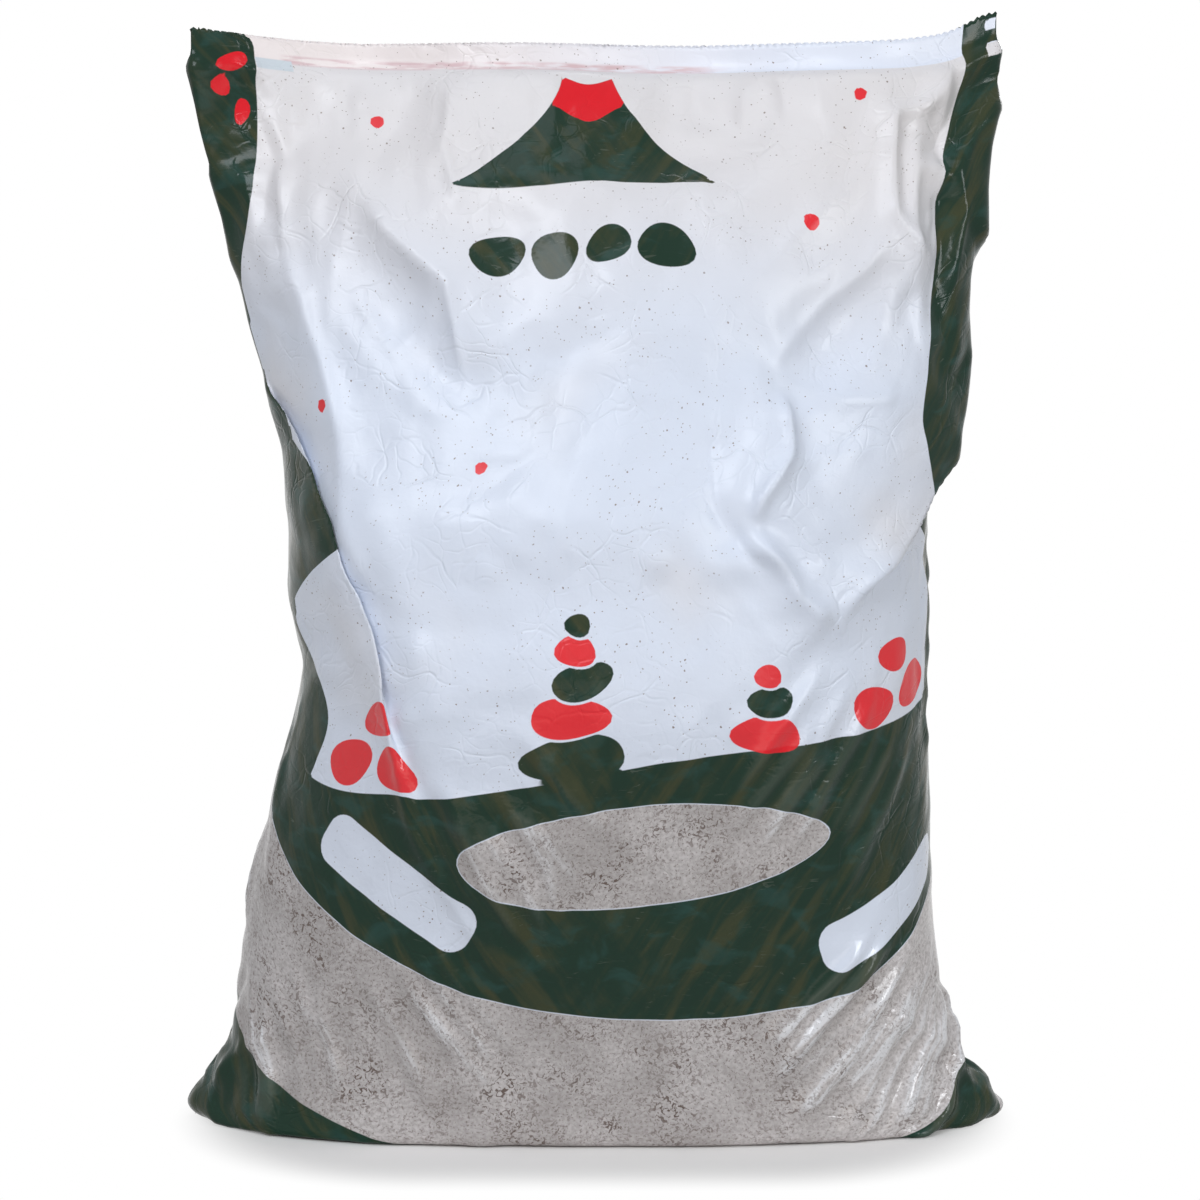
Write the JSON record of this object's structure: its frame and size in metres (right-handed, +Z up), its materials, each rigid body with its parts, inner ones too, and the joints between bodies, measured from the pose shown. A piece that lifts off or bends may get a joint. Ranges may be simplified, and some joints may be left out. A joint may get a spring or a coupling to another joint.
{
  "type": "bag of volcanic tuff",
  "caption": "Filled and welded film sack of crushed volcanic tuff, standing on its foot with a full lower belly, a slack neck and a flat toothed top weld.",
  "frame": {"origin": "middle of the foot on the surface the sack stands on", "axes": "+Z up, +X along the foot to the right as seen from the printed front, which faces -Y"},
  "size_m": [0.45, 0.2184, 0.6013],
  "materials": {
    "film": "printed polyethylene film, white with dark green sides and grey fields, semi-gloss"
  },
  "bodies": {
    "root": {"sealed_bag": "film"}
  },
  "joints": []
}
